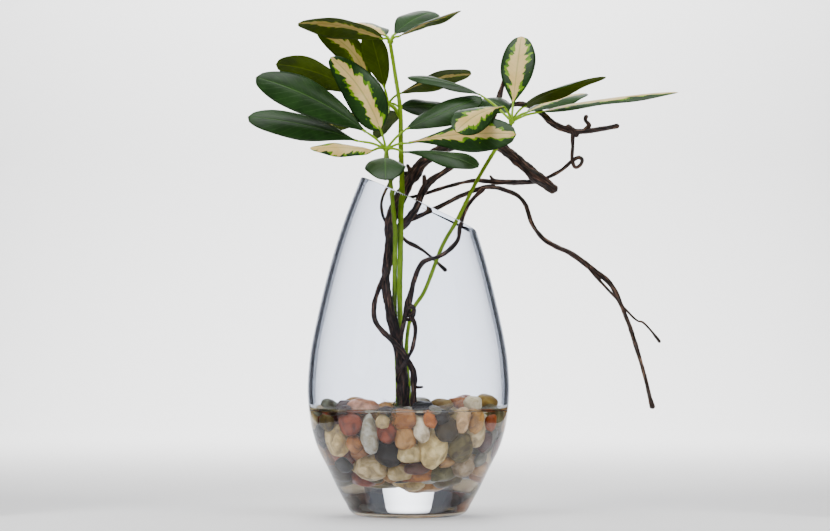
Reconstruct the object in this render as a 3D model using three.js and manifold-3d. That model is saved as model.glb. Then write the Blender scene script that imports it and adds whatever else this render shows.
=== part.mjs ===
// Variegated schefflera sprays and a gnarled branch standing in a slant-cut glass vase.
// Millimetres. Origin: centre of the vase's flat base. +Z up, +X toward the low side of the
// slanted rim, +Y toward the back of the arrangement.
import * as THREE from 'three';
import { mergeVertices } from 'three/addons/utils/BufferGeometryUtils.js';
import Module from 'manifold-3d';

const wasm = await Module();
wasm.setup();

// ---- driving dimensions -------------------------------------------------------------------
const GAP = 0.3;             // clearance kept between pieces that touch
const WALL = 4.5;            // glass thickness through the side wall
const FLOOR = 37;            // height of the bowl's lowest inside point: the base is solid glass
const RIM_HEIGHT = 285.3;    // height of the slanted rim where it crosses the vase's axis
const RIM_SLANT = 24.9;      // degrees between the rim's plane and the table
const WATER_LEVEL = 95;      // top of the clear set resin that looks like water
const BLADE = 1;             // thickness of a leaflet
const PETIOLE = 1.15;        // radius of a leaf stalk

// Outside of the glass, [radius, height], before the rim is cut.
const GLASS = [
  [44, 0], [50.9, 3], [55.8, 10.5], [63.9, 25], [81.5, 61], [88.2, 85], [91, 110], [90.4, 130],
  [87, 155], [81, 184], [73.5, 215], [65.7, 242.5], [56, 272], [46.2, 297], [36, 318],
];

// ---- materials ----------------------------------------------------------------------------
const paint = (color, roughness, extra = {}) =>
  new THREE.MeshStandardMaterial({ color, roughness, metalness: 0, ...extra });
const glass = paint('#eef1f8', 0.05, { transparent: true, opacity: 0.3 });
const resin = paint('#e9eee4', 0.08, { transparent: true, opacity: 0.35 });
const bark = paint('#3a2f2b', 0.85);
const stalk = paint('#8fb545', 0.5);
const leafGreen = paint('#3f5f3d', 0.4);
const leafCream = paint('#c9c184', 0.4);
const leafBack = paint('#4a5510', 0.5);
const moss = paint('#38422a', 0.9);
const stones = {
  tan: paint('#b98f5e', 0.5),
  cream: paint('#e2d3a8', 0.45),
  orange: paint('#b5713d', 0.5),
  olive: paint('#8b8252', 0.5),
  grey: paint('#9a9a92', 0.5),
  dark: paint('#33302e', 0.55),
};

// ---- helpers ------------------------------------------------------------------------------
const model = new THREE.Group();

function add(name, geometry, material) {
  const mesh = new THREE.Mesh(geometry, material);
  mesh.name = name;
  model.add(mesh);
}

// A closed three.js geometry as a solid that can be joined and cut.
function solid(geometry) {
  const bare = geometry.clone();
  bare.deleteAttribute('normal');
  bare.deleteAttribute('uv');
  const merged = mergeVertices(bare, 1e-4);
  return new wasm.Manifold(new wasm.Mesh({
    numProp: 3,
    vertProperties: new Float32Array(merged.attributes.position.array),
    triVerts: new Uint32Array(merged.index.array),
  }));
}

// The biggest connected piece of a solid, as a three.js geometry.
function biggest(body) {
  const parts = body.decompose().sort((a, b) => b.volume() - a.volume());
  const mesh = parts[0].getMesh();
  const geometry = new THREE.BufferGeometry();
  geometry.setAttribute('position', new THREE.BufferAttribute(new Float32Array(mesh.vertProperties), 3));
  geometry.setIndex(Array.from(mesh.triVerts));
  return geometry;
}

const join = (bodies) => bodies.reduce((sum, body) => sum.add(body));
const cut = (body, tools) => tools.reduce((left, tool) => left.subtract(tool), body);

// Moves every corner of a geometry to where `place` puts it.
function reshape(geometry, place) {
  const position = geometry.attributes.position;
  const corner = new THREE.Vector3();
  for (let i = 0; i < position.count; i++) {
    corner.fromBufferAttribute(position, i);
    place(corner);
    position.setXYZ(i, corner.x, corner.y, corner.z);
  }
  return geometry;
}

// Linear reading of a short list spread evenly over 0..1.
function along(list, t) {
  const at = Math.min(t, 0.9999) * (list.length - 1);
  const i = Math.floor(at);
  return list[i] + (list[i + 1] - list[i]) * (at - i);
}

// A round limb: a cylinder bent along a smooth curve, with its radius varying along the way.
function limb(points, radii, { sides = 6, steps = Math.round(points.length * 1.6), grow = 0 } = {}) {
  const curve = new THREE.CatmullRomCurve3(points.map((p) => new THREE.Vector3(...p)), false, 'centripetal');
  const frames = curve.computeFrenetFrames(steps);
  return reshape(new THREE.CylinderGeometry(1, 1, 1, sides, steps), (corner) => {
    const i = Math.round((corner.y + 0.5) * steps);
    const t = i / steps;
    const radius = along(radii, t) + grow;
    const { x, z } = corner;
    corner.copy(curve.getPointAt(t))
      .addScaledVector(frames.normals[i], z * radius)
      .addScaledVector(frames.binormals[i], x * radius);
  });
}

// A rounded stone or knot: a sphere of triangles, stretched, turned and put in place.
function pebble([x, y, z], [a, b, c], turn = 0, grow = 0) {
  const geometry = new THREE.IcosahedronGeometry(1, 1);
  geometry.scale(a + grow, b + grow, c + grow);
  geometry.rotateY(THREE.MathUtils.degToRad(turn));
  geometry.translate(x, y, z);
  return geometry;
}

// ---- glass vase ---------------------------------------------------------------------------
// The wall is the same curve moved inward, down to a rounded bowl above the thick base.
function vaseBody() {
  const inner = GLASS.filter(([, height]) => height > 70).map(([radius, height]) => [radius - WALL, height]);
  const bowl = [[0, FLOOR], [26, 39], [47, 45], [64.6, 53], [75, 64]];
  const profile = [[0, 0], ...GLASS, ...inner.reverse(), ...bowl.reverse()];
  return new THREE.LatheGeometry(profile.map((p) => new THREE.Vector2(...p)), 32).rotateX(Math.PI / 2);
}

function rimCutter() {
  const box = new THREE.BoxGeometry(300, 300, 120).translate(0, 0, 60);
  return box.rotateY(THREE.MathUtils.degToRad(RIM_SLANT)).translate(0, 0, RIM_HEIGHT);
}
const vase = cut(solid(vaseBody()), [solid(rimCutter())]);
add('glass_vase', biggest(vase), glass);

// ---- branch -------------------------------------------------------------------------------
// One gnarled trunk that rises out of the stones, passes behind the green stems and arches over
// the low side of the rim; every twig is grafted on its parent with a hairline gap.
const BRANCHES = {
  branch_trunk: {
    points: [
      [-5, 0, 72], [-5, 0, 106], [-6, 0, 133], [-11, 0, 160], [-17.5, 0, 186], [-20.5, 3, 215],
      [-18, 7, 241], [-14.5, 14, 271], [-5, 17, 291], [3, 19, 305.5], [12, 21, 318.5],
      [29.5, 24, 330.5], [52, 26, 340], [73, 24, 338.5], [92, 20, 327.5], [114, 12, 307], [133, 6, 293],
    ],
    radii: [5.4, 5.4, 5.3, 4.6, 4.1, 4, 4.4, 5.4, 5.6, 5, 4.6, 4.6, 4.8, 4.8, 4.3],
    sides: 7,
  },
  branch_left_fork: {
    points: [
      [-9, 16, 258], [-1, 13.5, 266], [6, 11, 275], [9.5, 9.5, 284], [14, 9, 294], [20, 10, 301.5],
      [39.5, 14, 315.5], [52, 17, 324.5],
    ],
    radii: [3.6, 3.6, 3.4, 3, 2.6, 2.4],
    from: ['branch_trunk'],
  },
  branch_drooping: {
    points: [
      [-8, 15, 262], [0, 14, 266.5], [10.5, 13, 270], [28.5, 11, 278.5], [50, 7, 289.5], [71.5, 4, 296], [93, 0, 291],
      [104.5, -4, 281], [111, -8, 262], [124, -11, 246.5], [146.5, -13, 235], [162.5, -15, 223.5],
      [181, -17, 207.5], [192, -18, 185.5], [201, -18, 160.5], [209, -18, 134], [218.5, -18, 97],
    ],
    radii: [2.2, 2.2, 2, 2, 2, 2.1, 2.4, 2.1, 1.9, 1.8],
    steps: 32,
    from: ['branch_trunk', 'branch_left_fork'],
  },
  twig_drooping_side: {
    points: [[192, -18, 187.5], [203.5, -20, 176], [210.5, -21, 173], [222, -22, 160], [224.5, -22, 156]],
    radii: [1.2, 1.1, 1.1, 1.6],
    from: ['branch_drooping'],
  },
  branch_inner_curl: {
    points: [
      [67, 4.5, 294.5], [53.5, 0, 279.5], [46.5, -6, 260.5], [43, -13, 246], [30, -17, 234],
      [13, -14, 227], [5, -10, 212], [0.5, -8.5, 193], [-3.5, -8, 175], [-6.5, -7, 162.5], [-8.5, -2, 146],
    ],
    radii: [1.7, 1.8, 1.7, 1.7, 2, 3.2, 1.7, 1.5],
    from: ['branch_drooping', 'branch_trunk'],
  },
  tendril_left: {
    points: [
      [2.5, 19, 310], [-11.5, 21, 307.5], [-19.5, 12, 295.5], [-24.5, 8, 281.5], [-22, 14, 266.5],
      [-12, 24, 257], [-1.5, 22, 247], [11.5, 12, 239.5], [24, 4, 229], [34, 0, 220],
    ],
    radii: [1.9, 1.6, 1.5, 1.8, 1.6, 1.4, 1.9],
    from: ['branch_trunk'],
  },
  vine_round_trunk: {
    points: [
      [-20, 2, 219], [-24.5, -3, 210], [-30.5, -4, 191], [-29, -6.5, 173], [-14.5, -11, 157],
      [-5, -11, 146.5], [4, -10, 130], [4.5, -9, 113], [4, -9, 76],
    ],
    radii: [1.6, 2, 2.2, 2.6, 2.8, 2.6],
    from: ['branch_trunk'],
  },
  tendril_loop: {
    points: [
      [1, -9, 182], [6, -13, 168], [3, -16, 149], [-6, -14.5, 133], [-10, -8, 124], [-9.5, -3, 120],
    ],
    radii: [1.9, 1.8, 1.7, 1.6],
    from: ['branch_inner_curl', 'vine_round_trunk', 'branch_trunk'],
  },
  twig_upright: {
    points: [[73, 25, 337.5], [75, 38, 354], [80, 48, 370], [86.5, 53, 392], [90, 55, 405]],
    radii: [2.4, 2.6, 2.6, 2.2],
    from: ['branch_trunk'],
  },
  twig_upper_right: {
    points: [
      [80, 48, 371], [100, 40, 373.5], [115.5, 26, 368], [131, 17, 354.5], [148.5, 10, 346.5],
      [163, 6, 347], [189.5, 0, 351],
    ],
    radii: [2.2, 2.3, 2.4, 3.2, 2.3, 2.1],
    from: ['twig_upright'],
  },
  tendril_right: {
    points: [
      [-3, 17, 286], [16.5, 16, 291], [36.5, 12, 297], [60, 10, 302], [82.5, 10, 300.5], [101, 15, 301],
      [117.5, 20, 302], [135.5, 17, 310], [148, 14, 320], [154, 11, 323], [157, 8, 320.5],
      [154.5, 5, 315.5], [150, 5, 314], [147.5, 7.5, 322], [148.5, 10, 333], [148.5, 10, 346],
    ],
    radii: [1.3, 1.4, 1.6, 2.5, 2.3, 1.8, 1.6, 1.6, 1.5, 1.5, 1.8],
    sides: 5,
    steps: 36,
    from: ['branch_trunk', 'branch_left_fork', 'twig_upper_right'],
  },
};

// Short broken spurs and the second strand of the drooping branch, joined to their limb.
const SPURS = {
  branch_trunk: [[[[4, 19, 307], [1, 18, 313.5], [-1.5, 17, 317]], [2.4, 1.4]]],
  branch_left_fork: [[[[15, 9, 295], [14.5, 8, 301.5], [14.5, 7, 306]], [2, 1.3]]],
  branch_drooping: [[[[154, -14, 231], [165, -16, 218], [178.5, -18, 204], [187.5, -18, 195.5]], [1.4, 1.1, 1.3]]],
  tendril_right: [[[[79, 10, 300.5], [75.5, 9, 303], [74, 8, 306]], [1.5, 1]]],
  twig_upper_right: [[[[158, 7, 345.5], [163, 7, 352], [160, 8, 356.5], [161, 8, 360.5]], [1.6, 1.4]]],
};

function branchSolid(name, grow = 0) {
  const { points, radii, sides, steps } = BRANCHES[name];
  const main = solid(limb(points, radii, { sides, steps, grow }));
  const spurs = (SPURS[name] ?? []).map(([route, sizes]) => solid(limb(route, sizes, { sides: 5, grow })));
  return join([main, ...spurs]);
}
const wood = {};
for (const [name, { from = [] }] of Object.entries(BRANCHES)) {
  const body = cut(branchSolid(name), from.map((parent) => branchSolid(parent, GAP)));
  wood[name] = branchSolid(name, GAP);
  add(name, biggest(body), bark);
}

// ---- leaves -------------------------------------------------------------------------------
// A leaflet runs from `base` (next to its stalk) to `tip`. `width` is its full width, `roll`
// turns its face from level (0) to facing front (90, or -90 to show the underside), `arch` lifts
// the middle of the midrib, `droop` lowers the edges and `wide` is where it is broadest.
const LEAVES = {
  stem_tall: [
    ['leaf_top_left', [-23, -6, 429], [-98, -50, 439], 32, -25, 5, 4, 0.5, leafBack],
    ['leaf_top_rear', [-21, 8, 433], [-52, 68, 450], 30, 12, 3, 3, 0.5, leafGreen],
    ['leaf_top_right', [-13, 8, 434], [24, 66, 460], 33, 20, 4, 3, 0.6, leafBack],
    ['leaf_top_front', [-9, -7, 431], [46, -50, 450], 28, 8, 2, 3, 0.5, leafCream],
    ['leaf_crown_rear_left', [-33, 42, 384], [-84, 60, 444], 34, -62, 11, 3, 0.55, leafBack],
    ['leaf_crown_rear_up', [-22, 34, 388], [-36, 3, 440], 26, 0, 2, 3, 0.55, leafBack],
    ['leaf_crown_left', [-44, 38, 380], [-122, 55, 411], 35, -45, 7, 3, 0.6, leafBack],
    ['leaf_crown_right', [-8, 42, 383], [58, 72, 403], 33, -30, 5, 3, 0.55, leafBack],
    ['leaf_crown_low_right', [-8, 36, 370], [44, 58, 368], 30, 40, 3, 3, 0.5, leafBack],
    ['leaf_crown_low_rear', [-18, 48, 368], [-27, 84, 345], 28, 30, 2, 3, 0.5, leafBack],
    ['leaf_crown_low_left', [-34, 34, 366], [-102, 42, 341], 30, -22, 3, 3, 0.5, leafBack],
  ],
  stem_left: [
    ['leaf_left_upper', [-38, -42, 343], [-136, -36, 392], 38, 60, 6, 4, 0.6, leafGreen],
    ['leaf_left_lower', [-45, -38, 335], [-144, -18, 358], 33, 48, 4, 4, 0.62, leafGreen],
    ['leaf_left_upright', [-25, -43, 345], [-70, -12, 412], 35, 66, 6, 4, 0.38, leafCream],
    ['leaf_left_small', [-32, -50, 326], [-86, -88, 325], 21, 36, 2, 3, 0.45, leafCream],
    ['leaf_front', [-21, -46, 319], [-20, -104, 297], 36, 0, 7, 4, 0.55, leafGreen],
    ['leaf_low_right', [-5, -46, 325], [61, -90, 309], 26, 30, 5, 3, 0.66, leafGreen],
    ['leaf_mid_right', [0, -44, 333], [95, -68, 339], 36, 60, 4, 3, 0.68, leafCream],
    ['leaf_back_right', [-2, -33, 346], [66, 14, 378], 30, 38, 1, 4, 0.55, leafGreen],
  ],
  stem_right: [
    ['leaf_right_upright', [94, -4, 370], [103, 36, 435], 32, 4, 2, 3, 0.58, leafCream],
    ['leaf_right_front', [102, -22, 366], [175, -54, 391], 28, -8, 5, 4, 0.4, leafBack],
    ['leaf_right_long', [118, -21, 362], [241, -30, 379], 27, 16, 3, 3, 0.4, leafCream],
    ['leaf_right_rear', [107, -4, 363], [163, 52, 384], 30, 10, 3, 3, 0.5, leafGreen],
    ['leaf_right_low', [85, -30, 366], [41, -106, 339], 30, 38, 5, 3, 0.68, leafCream],
    ['leaf_right_arching', [90, 2, 363], [61, 42, 376], 28, 24, 6, 5, 0.5, leafGreen],
    ['leaf_right_left', [65, 4, 379], [-1, 24, 397], 26, 20, 4, 3, 0.6, leafGreen],
  ],
};

// A box of 4 x 6 cells whose corners are carried onto the curved blade.
function blade(base, tip, width, roll, arch, droop, wide) {
  const start = new THREE.Vector3(...base);
  const end = new THREE.Vector3(...tip);
  const axis = end.clone().sub(start).normalize();
  const level = new THREE.Vector3(0, 0, 1).cross(axis).normalize();
  const up = axis.clone().cross(level);
  const angle = THREE.MathUtils.degToRad(roll) * (Math.sign(level.y) || 1);
  const side = level.clone().applyAxisAngle(axis, angle);
  const face = up.clone().applyAxisAngle(axis, angle);
  const skew = Math.log(0.5) / Math.log(wide);
  return reshape(new THREE.BoxGeometry(2, 1, 1, 4, 1, 6), (corner) => {
    const t = corner.z + 0.5;
    const s = corner.x;
    const half = (Math.sin(Math.PI * t ** skew) ** 0.66 * width) / 2;
    const lift = corner.y * BLADE - droop * s * s * Math.sin(Math.PI * t);
    const edge = s * Math.max(half, t < 0.5 ? 1.5 : 0.8);
    corner.copy(start).lerp(end, t)
      .addScaledVector(up, 4 * arch * t * (1 - t))
      .addScaledVector(side, edge)
      .addScaledVector(face, lift);
  });
}

// ---- stems --------------------------------------------------------------------------------
// Each stem stands in the stones and carries its whorls; the stalks spring from a whorl's hub
// and stop a hairline short of their leaflets.
const STEMS = {
  stem_tall: {
    points: [
      [-16.5, 0, 425], [-12.5, 6, 400.5], [-7.5, 20, 366.5], [-7, 10, 336.5], [-6, -2, 293],
      [-7, -5, 268.5], [-7.5, 0, 228], [-8, 5, 203], [-7.5, 12, 171.5], [-7, 12, 153.5],
      [-5.5, 11, 104], [-5.5, 11, 72],
    ],
    radii: [1.7, 1.8, 2.2, 2.5, 2.5, 2.2, 2, 2],
    hubs: { crown: [-18.5, 35, 373.5], top: [-16.5, 0, 427] },
    fork: [[-7.5, 20, 362], [-12, 28, 369], [-18.5, 35, 373.5]],
  },
  stem_left: {
    points: [
      [-20, -35, 327], [-16.5, -22, 302], [-13.5, -12, 273.5], [-12, -9, 256], [-12, -4, 240.5],
      [-12.5, 4, 214], [-12.5, 12, 181.5], [-10.5, 17, 140], [-9.5, 18, 104], [-9.5, 18, 72],
    ],
    radii: [1.9, 1.9, 1.9, 1.9],
    hubs: { left: [-20, -36, 328] },
  },
  stem_right: {
    points: [
      [92.5, -15, 353], [63, -12, 304], [44, -9, 266.5], [30, -6, 241.5], [15, 2, 203], [3, 8, 182.5],
      [-2, 18, 149], [1, 16, 103.5], [1, 16, 72],
    ],
    radii: [1.8, 1.8, 1.8, 1.8],
    hubs: { right: [92.5, -15, 354] },
  },
};

// A stalk leaves its hub outward and bends to meet the leaflet's base head-on.
function petiole(hub, base, grow) {
  const from = new THREE.Vector3(...hub);
  const to = new THREE.Vector3(...base);
  const middle = from.clone().lerp(to, 0.5).add(new THREE.Vector3(0, 0, 1.5));
  const stop = to.clone().addScaledVector(to.clone().sub(middle).normalize(), grow - 2 * GAP);
  const radius = PETIOLE + grow;
  return limb([from, middle, stop].map((p) => p.toArray()), [radius, radius], { sides: 5, steps: 2 });
}

function nearestHub(hubs, base) {
  const reach = (hub) => new THREE.Vector3(...hub).distanceTo(new THREE.Vector3(...base));
  return Object.values(hubs).reduce((best, hub) => (reach(hub) < reach(best) ? hub : best));
}

function stemSolid(name, grow = 0) {
  const { points, radii, hubs, fork } = STEMS[name];
  const bodies = [solid(limb(points, radii, { grow }))];
  if (fork) bodies.push(solid(limb(fork, [1.8, 1.8], { steps: 4, grow })));
  for (const hub of Object.values(hubs)) bodies.push(solid(pebble(hub, [3.2, 3.2, 3], 0, grow)));
  for (const [, base] of LEAVES[name]) bodies.push(solid(petiole(nearestHub(hubs, base), base, grow)));
  return join(bodies);
}
const greenery = {};
for (const name of Object.keys(STEMS)) {
  greenery[name] = stemSolid(name, GAP);
  add(name, biggest(stemSolid(name)), stalk);
  for (const [leaf, base, tip, width, roll, arch, droop, wide, material] of LEAVES[name]) {
    add(leaf, blade(base, tip, width, roll, arch, droop, wide), material);
  }
}

// ---- river stones and moss ----------------------------------------------------------------
// The packed bed under the resin's surface is one lumpy body, a finger's width off the glass.
const BED = [
  [0, 41], [24, 43], [43, 49], [60, 57.5], [69, 67.5], [76, 79], [79, 88], [73, 94], [52, 95], [27, 96], [0, 96],
];

function bedSolid(grow) {
  const outline = BED.map((p) => new THREE.Vector2(...p));
  const geometry = new THREE.LatheGeometry(outline, 28).rotateX(Math.PI / 2);
  return solid(reshape(geometry, (corner) => {
    const { x, y, z } = corner;
    const lump = 0.028 * Math.sin(x / 6) * Math.cos(y / 7) * Math.sin(z / 6);
    const out = 1 + lump + grow / Math.max(30, Math.hypot(x, y));
    const rise = z > 90 ? grow + 1.6 * Math.cos(x / 9) * Math.cos(y / 8) : -grow;
    corner.set(x * out, y * out, z + rise);
  }));
}

// Loose stones lying on the bed: centre, half sizes, turn.
const LOOSE = [
  ['stone_peach', [-39, -48, 100], [14, 11, 7], 4, stones.cream],
  ['stone_mauve', [-56, -34, 99], [8, 9, 6], -10, stones.dark],
  ['stone_grey_left', [-72, -8, 99], [9, 12, 6], 20, stones.grey],
  ['stone_slate', [14, -58, 99], [10, 9, 6], 0, stones.dark],
  ['stone_olive_tan', [31, -38, 100], [11, 10, 7], -8, stones.olive],
  ['stone_orange_tan', [46, -24, 101], [11, 11, 7], 6, stones.orange],
  ['stone_pale', [56, -46, 102], [8, 9, 7], 0, stones.cream],
  ['stone_olive_yellow', [70, -14, 101], [10, 13, 9], 12, stones.tan],
  ['stone_rear_left', [-46, 40, 99], [14, 12, 7], 0, stones.tan],
  ['stone_rear', [6, 56, 99], [16, 11, 7], 0, stones.grey],
  ['stone_rear_right', [50, 40, 100], [13, 14, 8], 0, stones.orange],
];

const standing = [...Object.values(wood), ...Object.values(greenery)];
const placed = [bedSolid(2.5 * GAP)];
add('stone_bed', biggest(cut(bedSolid(0), standing)), stones.tan);
for (const [name, centre, size, turn, material] of LOOSE) {
  const body = cut(solid(pebble(centre, size, turn)), [...standing, ...placed]);
  placed.push(solid(pebble(centre, size, turn, GAP)));
  add(name, biggest(body), material);
}

// A tuft of moss at the foot of the branch.
const tuft = (grow) => join([0, 1, 2, 3, 4, 5].map((i) => {
  const turn = (i / 6) * 2 * Math.PI;
  const foot = [-14 + 3 * Math.cos(turn), -20 + 3 * Math.sin(turn), 92];
  const end = [-14 + 12 * Math.cos(turn), -22 + 9 * Math.sin(turn), 103 + 2 * (i % 3)];
  return solid(limb([foot, end], [3, 1.2], { sides: 5, steps: 1, grow }));
}));
add('moss_tuft', biggest(cut(tuft(0), [...standing, ...placed])), moss);
placed.push(tuft(GAP));

// ---- clear resin --------------------------------------------------------------------------
// It fills the bowl to its level, a hairline off the glass, round everything that stands in it.
const fill = [[0, FLOOR], [26, 39], [47, 45], [64.6, 53], [75, 64], [83.7, 85]];
const level = [...fill.map(([r, h]) => [Math.max(r - GAP, 0), h + GAP]), [84.5, WATER_LEVEL], [0, WATER_LEVEL]];
const pool = new THREE.LatheGeometry(level.map((p) => new THREE.Vector2(...p)), 32).rotateX(Math.PI / 2);
add('clear_resin', biggest(cut(solid(pool), [...standing, ...placed])), resin);

export default model;
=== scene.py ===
import math
import random

import bpy
from mathutils import Matrix, Vector, noise


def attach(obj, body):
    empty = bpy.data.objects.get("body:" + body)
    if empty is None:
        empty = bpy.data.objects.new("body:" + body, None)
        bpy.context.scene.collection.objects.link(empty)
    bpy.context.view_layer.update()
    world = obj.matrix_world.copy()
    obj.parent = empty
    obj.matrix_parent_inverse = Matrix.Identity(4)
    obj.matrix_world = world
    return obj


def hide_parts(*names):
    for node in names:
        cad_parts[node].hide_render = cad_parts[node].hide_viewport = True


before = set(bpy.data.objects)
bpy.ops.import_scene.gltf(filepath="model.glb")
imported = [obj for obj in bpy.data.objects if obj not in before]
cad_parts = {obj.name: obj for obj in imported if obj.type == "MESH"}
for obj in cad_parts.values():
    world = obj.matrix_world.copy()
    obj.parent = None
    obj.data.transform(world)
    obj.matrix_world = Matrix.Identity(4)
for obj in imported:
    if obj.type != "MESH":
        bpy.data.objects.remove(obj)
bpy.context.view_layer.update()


# ---- branch ---------------------------------------------------------------------------------
# One gnarled, sun-dried branch with its twigs and tendrils, each forked from its parent. The bark
# is dark brown, ridged along the grain in a slow twist, with lumps where side shoots broke off.

def metres(points):
    """Millimetres to metres."""
    return [Vector(p) / 1000 for p in points]


def smooth_path(points, step):
    """A curve through the points, cut into even steps. Returns the places along it."""
    ends = [2 * points[0] - points[1]] + points + [2 * points[-1] - points[-2]]
    fine = []
    for a, b, c, d in zip(ends, ends[1:], ends[2:], ends[3:]):
        for i in range(16):
            t = i / 16
            fine.append(0.5 * (2 * b + (c - a) * t + (2 * a - 5 * b + 4 * c - d) * t * t
                               + (3 * b - a - 3 * c + d) * t ** 3))
    fine.append(points[-1])
    reach = [0.0]
    for p, q in zip(fine, fine[1:]):
        reach.append(reach[-1] + (q - p).length)
    count = max(3, round(reach[-1] / step))
    places, at = [], 0
    for i in range(count + 1):
        goal = reach[-1] * i / count
        while at < len(fine) - 2 and reach[at + 1] < goal:
            at += 1
        span = reach[at + 1] - reach[at] or 1
        places.append(fine[at].lerp(fine[at + 1], min(1, (goal - reach[at]) / span)))
    return places


def spread(values, t):
    """Reads a short list of values spread evenly over 0..1."""
    at = min(max(t, 0), 0.9999) * (len(values) - 1)
    return values[int(at)] + (values[int(at) + 1] - values[int(at)]) * (at - int(at))


def tube(points, radii, step, sides, swell=None):
    """A closed round tube along points, as (corners, faces, uvs). swell(place, angle, distance)
    scales its radius. The uv runs round the tube and along it, in metres."""
    path = smooth_path(points, step)
    last = len(path) - 1
    tangents = [(path[min(i + 1, last)] - path[max(i - 1,
        0)]).normalized() for i in range(last + 1)]
    side = tangents[0].orthogonal().normalized()
    corners, faces, uvs, distance = [], [], [], 0.0
    rings = []
    for i, (place, tangent) in enumerate(zip(path, tangents)):
        side = (side - tangent * side.dot(tangent)).normalized()
        across = tangent.cross(side)
        distance += (place - path[i - 1]).length if i else 0
        radius = spread(radii, i / last) * (0.72 if i in (0, last) else 1)
        ring = []
        for k in range(sides):
            angle = 2 * math.pi * k / sides
            out = side * math.cos(angle) + across * math.sin(angle)
            grown = radius * (swell(place + out * radius, angle, distance) if swell else 1)
            ring.append(len(corners))
            corners.append(place + out * grown)
        rings.append((ring, distance, radius))
    for (ring, d0, r0), (after, d1, r1) in zip(rings, rings[1:]):
        for k in range(sides):
            n = (k + 1) % sides
            faces.append((ring[k], ring[n], after[n], after[k]))
            u0, u1 = 2 * math.pi * r0 * k / sides, 2 * math.pi * r0 * (k + 1) / sides
            uvs.append(((u0, d0), (u1, d0), (u1, d1), (u0, d1)))
    for (ring, d, _), tip, turn in ((rings[0], path[0] - tangents[0] * radii[0] * 0.35, -1),
                                    (rings[-1], path[-1] + tangents[-1] * radii[-1] * 0.35, 1)):
        corners.append(tip)
        for k in range(sides):
            n = (k + 1) % sides
            pair = (ring[k], ring[n]) if turn > 0 else (ring[n], ring[k])
            faces.append((*pair, len(corners) - 1))
            uvs.append(((0, d), (0.001, d), (0, d)))
    return corners, faces, uvs


def piece(name, parts, materials, node_names=(), uv_name="surface"):
    """One object from (corners, faces, uvs) parts, riding on the root and standing for CAD nodes."""
    corners, faces, uvs = [], [], []
    for part_corners, part_faces, part_uvs in parts:
        base = len(corners)
        corners += [tuple(c) for c in part_corners]
        faces += [tuple(base + i for i in face) for face in part_faces]
        uvs += part_uvs
    mesh = bpy.data.meshes.new(name)
    mesh.from_pydata(corners, [], faces)
    layer = mesh.uv_layers.new(name=uv_name)
    flat = [value for face in uvs for corner in face for value in corner]
    layer.data.foreach_set("uv", flat)
    mesh.shade_smooth()
    for material in materials:
        mesh.materials.append(material)
    made = bpy.data.objects.new(name, mesh)
    bpy.context.scene.collection.objects.link(made)
    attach(made, "root")
    if node_names:
        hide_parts(*node_names)
    return made


def linear(hex_colour):
    """sRGB hex to the linear colour that shaders read."""
    channels = [int(hex_colour[i:i + 2], 16) / 255 for i in (0, 2, 4)]
    return [c / 12.92 if c <= 0.04045 else ((c + 0.055) / 1.055) ** 2.4 for c in channels] + [1]


def put(tree, kind, settings=None, inputs=None):
    """Adds a node with its settings and links. An input that is a socket is linked to it."""
    made = tree.nodes.new(kind)
    for name, value in (settings or {}).items():
        setattr(made, name, value)
    for name, value in (inputs or {}).items():
        if isinstance(value, bpy.types.NodeSocket):
            tree.links.new(value, made.inputs[name])
        else:
            made.inputs[name].default_value = value
    return made


def new_material(name):
    """An empty material, with its tree and its output node."""
    material = bpy.data.materials.new(name)
    material.use_nodes = True
    material.node_tree.nodes.clear()
    return material, material.node_tree, put(material.node_tree, "ShaderNodeOutputMaterial")


def ramp(tree, factor, stops):
    """A colour ramp through (position, hex) stops."""
    made = put(tree, "ShaderNodeValToRGB", None, {"Fac": factor})
    while len(made.color_ramp.elements) < len(stops):
        made.color_ramp.elements.new(0.5)
    for element, (position, colour) in zip(made.color_ramp.elements, stops):
        element.position = position
        element.color = linear(colour)
    return made.outputs["Color"]


# Dry bark: matt; near black in the furrows and warm brown on the ridges, partly bark tone and partly
# painted shade and highlight, with patches of painted grey sheen.
bark, tree, out = new_material("dry bark")
uv = put(tree, "ShaderNodeUVMap", {"uv_map": "surface"}).outputs["UV"]
# Furrows about 1.5 mm apart round the limb and 12 mm long.
grain = put(tree, "ShaderNodeMapping", None, {
    "Vector": uv, "Scale": (700, 85, 1)}).outputs["Vector"]
furrow = put(tree, "ShaderNodeTexNoise", None, {
    "Vector": grain, "Scale": 1.0, "Detail": 5.0, "Distortion": 0.6})
place = put(tree, "ShaderNodeTexCoord").outputs["Object"]
# Painted sheen: grey patches mixed into the bark colour stand in for sheen where light catches the bark.
sheen_noise = put(tree, "ShaderNodeTexNoise", None, {"Vector": place, "Scale": 130.0, "Detail": 4.0})
# Partly bark tone, partly painted light: the furrow noise that sets the bumps also sets the colour, near
# black as painted shade where it dips and warm brown as painted highlight where it rises.
bark_tone_and_painted_shade = ramp(tree, furrow.outputs["Fac"], [(0.36, "120e0c"), (0.5, "2e221e"), (0.6, "50382e"),
    (0.74, "94735f")])
painted_sheen = put(tree, "ShaderNodeMapRange", None, {
    "Value": sheen_noise.outputs["Fac"], "From Min": 0.52, "From Max": 0.72, "To Max": 0.3})
bark_with_painted_sheen = put(tree, "ShaderNodeMix", {"data_type": "RGBA"}, {
    "Factor": painted_sheen.outputs["Result"], "A": bark_tone_and_painted_shade, "B": linear("5a5452")})
bump = put(tree, "ShaderNodeBump", None, {"Height": furrow.outputs["Fac"], "Strength": 0.8,
    "Distance": 0.0012})
shader = put(tree, "ShaderNodeBsdfPrincipled", None, {
    "Base Color": bark_with_painted_sheen.outputs["Result"], "Roughness": 0.55, "Specular IOR Level": 0.35,
    "Normal": bump.outputs["Normal"]})
tree.links.new(shader.outputs["BSDF"], out.inputs["Surface"])


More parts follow.
